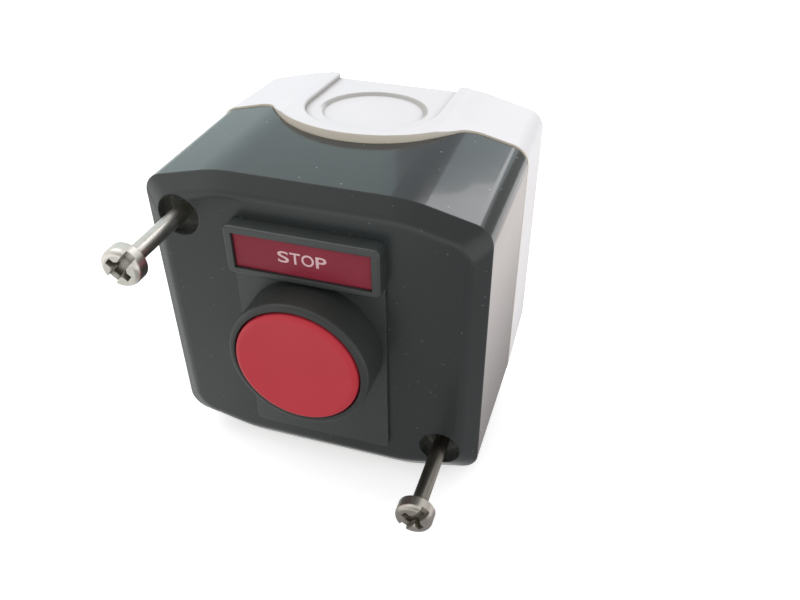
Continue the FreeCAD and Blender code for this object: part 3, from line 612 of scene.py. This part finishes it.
thread_ridge("upper_screw", "upper_screw", screw_steel)
thread_ridge("lower_screw", "lower_screw", shaded_screw_steel)

# %% [markdown]
# ## The printed word
# The legend says what the button does. Letters could be cut from planes, but Blender's text object
# already holds good outlines. Each letter is thickened a little, turned into a mesh and stretched to
# the width and height of the print, which has the even letters of an engraver's stencil. Then it is
# stood up to face the front and laid on the legend, a hair proud of it like a film of ink.

# %% Print the word on the legend
legend_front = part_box("legend_plate")[0][1]
word_bottom, word_top = 19.2 * MM, 21.65 * MM
ink_proud = 0.01 * MM
# The left and right end of each letter, in millimetres.
letter_spans = {"S": (-4.75, -2.55), "T": (-2.35, -0.25), "O": (-0.05, 2.4), "P": (2.75, 4.85)}
stood = Matrix.Rotation(math.radians(90), 4, "X")
word_shape = bmesh.new()
for letter, (left, right) in letter_spans.items():
    outline = bpy.data.curves.new("letter", "FONT")
    outline.body = letter
    outline.size = 4.0 * MM
    outline.extrude = 0.015 * MM
    outline.offset = 0.05 * MM
    letter_curve = bpy.data.objects.new("letter", outline)
    bpy.context.scene.collection.objects.link(letter_curve)
    bpy.context.view_layer.update()
    evaluated = letter_curve.evaluated_get(bpy.context.evaluated_depsgraph_get())
    flat = bpy.data.meshes.new_from_object(evaluated)
    xs = [vertex.co.x for vertex in flat.vertices]
    ys = [vertex.co.y for vertex in flat.vertices]
    across = (right - left) * MM / (max(xs) - min(xs))
    up = (word_top - word_bottom) / (max(ys) - min(ys))
    stretched = Matrix.Diagonal((across, up, 1, 1)) @ Matrix.Translation((-min(xs), -min(ys), 0))
    laid = Matrix.Translation((left * MM, legend_front - ink_proud, word_bottom))
    flat.transform(laid @ stood @ stretched)
    word_shape.from_mesh(flat)
    bpy.data.objects.remove(letter_curve)
    bpy.data.curves.remove(outline)
    bpy.data.meshes.remove(flat)
bmesh.ops.remove_doubles(word_shape, verts=word_shape.verts, dist=0.001 * MM)
word = mesh_piece("printed_word", word_shape, white_ink)
word.data.polygons.foreach_set("use_smooth", [False] * len(word.data.polygons))
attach(word, "cover")
print("word", len(word.data.polygons), "faces on the legend at", round(legend_front / MM, 2), "mm")

# %% [markdown]
# ## The stage
# A pale floor carries the box. It has to look white from the camera and in the gloss, and still show
# a soft shadow, so its matt white gets a little light of its own that only the camera and mirror
# rays see. The world does the same: white to look at, and a plainer fill as a lamp.

# %% Floor and world
def seen_rays(tree):
    """The camera rays, and the rays that come by way of a mirror or through glass."""
    path = add_node(tree, "LightPath")
    by_mirror = add_node(tree, "Math", {"operation": "MAXIMUM"}, None,
                         {0: path.outputs["Is Glossy Ray"], 1: path.outputs["Is Transmission Ray"]})
    return path.outputs["Is Camera Ray"], by_mirror.outputs["Value"]


camera_glow, mirror_glow, floor_white, world_fill = 0.5, 0.32, 0.9, 0.97
# The floor lies a hair below the box, so that the two faces don't coincide.
floor_level = cad_box[0][2] - 0.05 * MM
floor_shape = bmesh.new()
bmesh.ops.create_grid(floor_shape, x_segments=1, y_segments=1, size=4.0)
bmesh.ops.translate(floor_shape, verts=floor_shape.verts, vec=(0, 0, floor_level))
# The floor is matt white paint with a glow, which keeps it white in the picture.
floor_paint, tree, _ = new_material("white_studio_floor")
by_camera, by_mirror = seen_rays(tree)
dim = add_node(tree, "Math", {"operation": "MULTIPLY"}, {1: mirror_glow}, {0: by_mirror})
glow = add_node(tree, "Math", {"operation": "MULTIPLY_ADD"}, {1: camera_glow},
                {0: by_camera, 2: dim.outputs["Value"]})
matt = add_node(tree, "BsdfDiffuse", None, {"Color": (floor_white, floor_white, floor_white, 1.0)})
lit = add_node(tree, "Emission", None, None, {"Strength": glow.outputs["Value"]})
both = add_node(tree, "AddShader", None, None, {0: matt.outputs["BSDF"], 1: lit.outputs["Emission"]})
add_node(tree, "OutputMaterial", None, None, {"Surface": both.outputs["Shader"]})
floor = mesh_piece("floor", floor_shape, floor_paint)

world = bpy.data.worlds.new("studio")
bpy.context.scene.world = world
world.use_nodes = True
tree = world.node_tree
tree.nodes.clear()
by_camera, by_mirror = seen_rays(tree)
shown = add_node(tree, "Math", {"operation": "MAXIMUM"}, None, {0: by_camera, 1: by_mirror})
level = add_node(tree, "MapRange", None, {"To Min": world_fill, "To Max": 1.0},
                 {"Value": shown.outputs["Value"]})
sky = add_node(tree, "Background", None, {"Color": (1, 1, 1, 1)}, {"Strength": level.outputs["Result"]})
add_node(tree, "OutputWorld", None, None, {"Surface": sky.outputs["Background"]})
print("floor at", round(floor_level / MM, 2), "mm")

# %% [markdown]
# ## Lamps and reflection cards
# One large soft lamp from the upper left is the key. A glossy black box is lit less by lamps than by
# what it mirrors, so a photographer stands cards around it. Each card here is a plane with a glow
# that only mirror rays see. Behind the box stand a bluish window, a grey wall, a haze, a bright card
# with a torn edge for the shoulder of the cover, and a dull one for its far corner. Cards of several
# greys lie on the floor, so that the front, the bevels and the right side mirror less than its white,
# and two before the box stand for the room behind the camera.

# %% Key lamp
key_place = Vector((-0.7, 0.2, 1.0))
key_data = bpy.data.lights.new("key", "AREA")
key_data.shape = "SQUARE"
key_data.size = 0.9
key_data.energy = 2.6
key = bpy.data.objects.new("key", key_data)
key.location = key_place
key.rotation_euler = (-key_place).to_track_quat("-Z", "Y").to_euler()
bpy.context.scene.collection.objects.link(key)
print("key lamp", key_data.energy, "W")


# %% Cards that the gloss mirrors
def oblong(width, height):
    """The corners of a card with straight edges."""
    x, y = width / 2, height / 2
    return [(-x, -y), (x, -y), (x, y), (-x, y)]


def standing(x, y, z):
    """The place of a card that stands upright across Y."""
    return Matrix.Translation((x, y, z)) @ stood


def lying(x, y):
    """The place of a card that lies just above the floor."""
    return Matrix.Translation((x, y, cad_box[0][2]))


def card(name, outline, place, colour, strength, right_strength=None):
    """A glowing plane that only mirror rays see, plain or graded from its left to its right edge."""
    shape = bmesh.new()
    shape.faces.new([shape.verts.new((x, y, 0)) for x, y in outline])
    bmesh.ops.transform(shape, verts=shape.verts, matrix=place)
    paint, tree, spot = new_material(name)
    light = add_node(tree, "Emission", None, {"Color": linear(colour), "Strength": strength})
    if right_strength is not None:
        across = [corner.co.x for corner in shape.verts]
        along = add_node(tree, "SeparateXYZ", None, None, {"Vector": spot.outputs["Object"]})
        grade = add_node(tree, "MapRange", None,
                         {"From Min": min(across), "From Max": max(across),
                          "To Min": strength, "To Max": right_strength},
                         {"Value": along.outputs["X"]})
        tree.links.new(grade.outputs["Result"], light.inputs["Strength"])
    add_node(tree, "OutputMaterial", None, None, {"Surface": light.outputs["Emission"]})
    board = mesh_piece(name, shape, paint)
    board.visible_camera = False
    board.visible_diffuse = False
    board.visible_transmission = False
    board.visible_shadow = False


print("a card on the floor is at", round(lying(0, 0).translation.z / MM, 2), "mm")

# %% Stand the cards around the box
# The bright card is a square on its corner. Its lower left edge is torn, for the wavy border of the
# patch on the shoulder: how far down that edge each point lies, and how far in, in millimetres.
torn_side = 0.3
tears_mm = [(110, 13), (135, 18), (155, 16), (168, 9), (190, 12), (200, 10), (210, 3), (230, -19)]
torn_edge = [(inward * MM - torn_side / 2, torn_side / 2 - down * MM) for down, inward in tears_mm]
torn = oblong(torn_side, torn_side) + torn_edge
on_corner = Matrix.Translation((0.158, 0.59, 0.526)) @ Matrix.Rotation(math.radians(-45), 4, "Y") @ stood
card("window_card", oblong(0.6, 0.75), standing(-0.5, 0.6, 0.34), "#e2f3f4", 0.96)
card("wall_card", oblong(0.22, 0.75), standing(-0.09, 0.6, 0.34), "#f4f8ff", 0.5)
card("shoulder_card", torn, on_corner, "#fdfdff", 3.2)
card("haze_card", oblong(0.25, 0.2), standing(0.145, 0.6, 0.38), "#e4f3f8", 1.24)
card("dark_card", oblong(0.7, 0.37), standing(0.63, 0.6, 0.15), "#ffffff", 0.4)
card("front_floor_card", oblong(0.13, 0.246), lying(0.07, -0.177), "#fffcff", 0.4)
card("middle_floor_card", oblong(0.04, 0.246), lying(-0.015, -0.177), "#fdfdfd", 0.93, 0.4)
card("front_left_floor_card", oblong(0.085, 0.246), lying(-0.0775, -0.177), "#fbfffb", 0.74, 0.93)
card("left_floor_card", oblong(0.23, 0.254), lying(-0.145, 0.073), "#fbfffb", 0.56)
card("near_right_floor_card", oblong(0.014, 0.16), lying(0.042, 0.03), "#fff8f6", 0.36, 1.12)
card("right_floor_card", oblong(0.07, 0.16), lying(0.084, 0.03), "#fff8f6", 1.12)
card("room_card", oblong(0.45, 0.5), standing(-0.225, -0.45, 0.35), "#fffffa", 0.95, 0.35)
card("dark_room_card", oblong(0.35, 0.5), standing(0.175, -0.45, 0.35), "#fffffa", 0.35)

# %% [markdown]
# ## Finish
# The picture is shown with the plain Standard view, so a colour comes out about as it is written.

# %% View and end
bpy.context.scene.view_settings.view_transform = "Standard"
